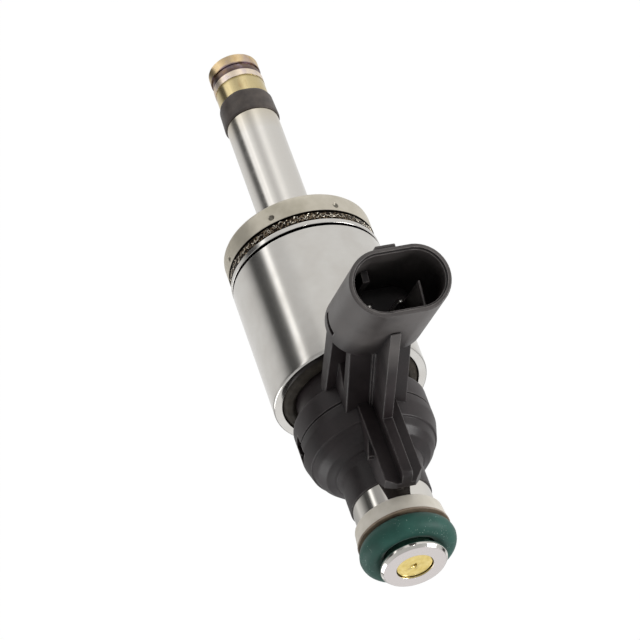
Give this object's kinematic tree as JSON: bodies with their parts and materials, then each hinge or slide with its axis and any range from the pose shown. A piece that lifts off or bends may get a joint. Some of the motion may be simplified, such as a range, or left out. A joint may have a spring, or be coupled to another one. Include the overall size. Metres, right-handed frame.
{
  "type": "fuel injector",
  "caption": "High-pressure petrol fuel injector with a long sealed nozzle shank, a steel magnet body, a ribbed side connector and a ringed rail inlet.",
  "frame": {"origin": "on the injector axis, in the plane of the flat seat shoulder where the nozzle shank starts", "axes": "+Z along the injector axis from the nozzle tip to the fuel inlet; -Y towards the side that the connector reaches out on; +X completes the right-handed frame"},
  "size_m": [0.0208, 0.0472, 0.0859],
  "materials": {
    "turned_steel": "fine turned stainless steel with a satin sheen",
    "tinted_steel": "turned steel with a straw heat tint towards the tip",
    "bright_steel": "mirror-bright ground steel",
    "inner_steel": "ground steel",
    "spring_steel": "drawn spring steel",
    "wire_mesh": "pressed knitted wire with an open, dark grain",
    "seal_polymer": "filled fluoropolymer, dull grey-brown",
    "seal_compound": "dark dull sealing compound",
    "moulded_plastic": "glass-filled black nylon with a soft grey bloom",
    "bobbin_plastic": "natural nylon",
    "copper_wire": "enamelled copper wire",
    "tinned_terminal": "tin-plated terminal",
    "filter_brass": "satin brass",
    "ring_plastic": "beige-grey smooth plastic",
    "washer_plastic": "brown plastic",
    "green_rubber": "dusty green fluoroelastomer"
  },
  "bodies": {
    "housing": {"nozzle_tube": "tinted_steel", "valve_seat": "tinted_steel", "needle_guide": "inner_steel", "combustion_seal": "seal_polymer", "mounting_collar": "turned_steel", "damping_ring": "wire_mesh", "spacer_ring": "turned_steel", "magnet_housing": "turned_steel", "valve_sleeve": "inner_steel", "pole_core": "inner_steel", "coil_bobbin": "bobbin_plastic", "coil_winding": "copper_wire", "yoke_ring": "inner_steel", "rear_seal": "seal_compound", "overmould": "moulded_plastic", "terminal_left": "tinned_terminal", "terminal_right": "tinned_terminal", "inlet_tube": "bright_steel", "adjusting_sleeve": "inner_steel", "closing_spring": "spring_steel", "inlet_filter": "filter_brass", "filter_screen": "inner_steel", "support_ring": "ring_plastic", "backup_washer": "washer_plastic", "inlet_oring": "green_rubber"},
    "needle": {"needle_rod": "inner_steel", "valve_ball": "inner_steel", "upper_stop": "inner_steel", "lower_stop": "inner_steel", "armature_spring": "spring_steel"},
    "armature": {"armature": "inner_steel"}
  },
  "joints": [
    {"name": "needle_stroke", "type": "slide", "parent": "housing", "child": "needle", "axis": [0, 0, 1], "range_m": [0, 0.00007], "stiffness_N_per_m": 2000, "springref_m": -0.005, "deforming": ["closing_spring"]},
    {"name": "armature_float", "type": "slide", "parent": "needle", "child": "armature", "axis": [0, 0, 1], "range_m": [-0.00004, 0], "stiffness_N_per_m": 400, "springref_m": 0.002, "deforming": ["armature_spring"]}
  ]
}
